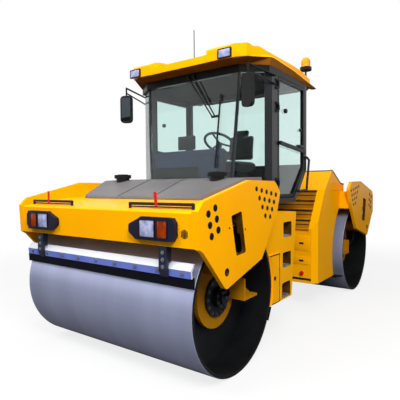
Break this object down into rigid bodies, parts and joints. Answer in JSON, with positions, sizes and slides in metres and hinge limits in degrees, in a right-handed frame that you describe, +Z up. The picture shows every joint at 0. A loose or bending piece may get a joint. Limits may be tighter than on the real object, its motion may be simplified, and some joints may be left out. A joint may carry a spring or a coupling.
{
  "type": "articulated tandem road roller",
  "caption": "Articulated tandem vibratory road roller with two wide steel drums on yokes, glazed cab over the steering joint, step columns, water tank hood and engine hood",
  "frame": {"origin": "on the ground under the steering joint, midway between the drum axles", "axes": "+X forward, +Y to the left of the machine, +Z up"},
  "size_m": [4.99, 2.32, 3.5098],
  "materials": {
    "yellow": "gloss",
    "drum_steel": "satin",
    "dark_metal": "satin",
    "grey_plastic": "satin",
    "black_plastic": "satin",
    "steel": "satin",
    "glass": "tinted",
    "seat_cover": "matte",
    "amber": "gloss"
  },
  "bodies": {
    "front_frame": {"front_beam": "yellow", "front_plate_left": "yellow", "front_plate_right": "yellow", "front_carriers": "yellow", "front_motors": "dark_metal", "front_bridge": "yellow", "step_left": "yellow", "step_right": "yellow", "step_treads": "steel", "tank_hood": "grey_plastic", "filler_caps": "black_plastic", "front_lamps": "black_plastic", "front_rails": "dark_metal", "front_scrapers": "steel", "cab_floor": "dark_metal", "cab_frame": "dark_metal", "cab_roof": "yellow", "cab_glass": "glass", "seat_base": "black_plastic", "seat_pads": "seat_cover", "console": "black_plastic", "mirrors": "black_plastic", "wiper": "black_plastic", "roof_fittings": "black_plastic", "beacon": "amber", "grab_rails": "dark_metal"},
    "front_drum": {"front_drum": "drum_steel"},
    "knuckle": {"knuckle": "dark_metal"},
    "rear_frame": {"rear_body": "yellow", "louvres": "yellow", "engine": "dark_metal", "rear_plate_left": "yellow", "rear_plate_right": "yellow", "rear_beam": "yellow", "rear_carriers": "yellow", "rear_motors": "dark_metal", "rear_scrapers": "steel", "rear_lamps": "black_plastic"},
    "rear_drum": {"rear_drum": "drum_steel"},
    "engine_hood": {"engine_hood": "grey_plastic"},
    "door_left": {"door_left": "dark_metal", "door_left_glass": "glass"},
    "door_right": {"door_right": "dark_metal", "door_right_glass": "glass"},
    "service_door_left": {"service_door_left": "yellow"},
    "service_door_right": {"service_door_right": "yellow"},
    "steer_rod_left": {"steer_rod_left": "steel"},
    "steer_rod_right": {"steer_rod_right": "steel"}
  },
  "joints": [
    {"name": "front_drum_spin", "type": "hinge", "parent": "front_frame", "child": "front_drum", "pos_m": [1.775, 0, 0.65], "axis": [0, 1, 0], "continuous": true},
    {"name": "steering", "type": "hinge", "parent": "front_frame", "child": "knuckle", "pos_m": [0, 0, 0.64], "axis": [0, 0, 1], "range_deg": [-27, 27]},
    {"name": "oscillation", "type": "hinge", "parent": "knuckle", "child": "rear_frame", "pos_m": [-0.3, 0, 0.64], "axis": [1, 0, 0], "range_deg": [-4, 4]},
    {"name": "rear_drum_spin", "type": "hinge", "parent": "rear_frame", "child": "rear_drum", "pos_m": [-1.775, 0, 0.65], "axis": [0, 1, 0], "continuous": true},
    {"name": "engine_hood_lift", "type": "hinge", "parent": "rear_frame", "child": "engine_hood", "pos_m": [-1.946, 0, 1.532], "axis": [0, -1, 0], "range_deg": [0, 55]},
    {"name": "door_left_swing", "type": "hinge", "parent": "front_frame", "child": "door_left", "pos_m": [0.675, 0.928, 2.2], "axis": [0, 0, -1], "range_deg": [0, 95]},
    {"name": "door_right_swing", "type": "hinge", "parent": "front_frame", "child": "door_right", "pos_m": [0.675, -0.928, 2.2], "axis": [0, 0, 1], "range_deg": [0, 95]},
    {"name": "service_left_swing", "type": "hinge", "parent": "front_frame", "child": "service_door_left", "pos_m": [0.927, 1.0643, 0.7], "axis": [0, 0, 1], "range_deg": [0, 100]},
    {"name": "service_right_swing", "type": "hinge", "parent": "front_frame", "child": "service_door_right", "pos_m": [0.927, -1.0643, 0.7], "axis": [0, 0, -1], "range_deg": [0, 100]},
    {"name": "rod_left_slide", "type": "slide", "parent": "front_frame", "child": "steer_rod_left", "axis": [-1, 0, 0], "range_m": [-0.156, 0.156]},
    {"name": "rod_right_slide", "type": "slide", "parent": "front_frame", "child": "steer_rod_right", "axis": [-1, 0, 0], "range_m": [-0.156, 0.156]}
  ],
  "couplings": [
    {"joint": "rod_left_slide", "follows": "steering", "m_per_rad": 0.33},
    {"joint": "rod_right_slide", "follows": "steering", "m_per_rad": -0.33}
  ]
}
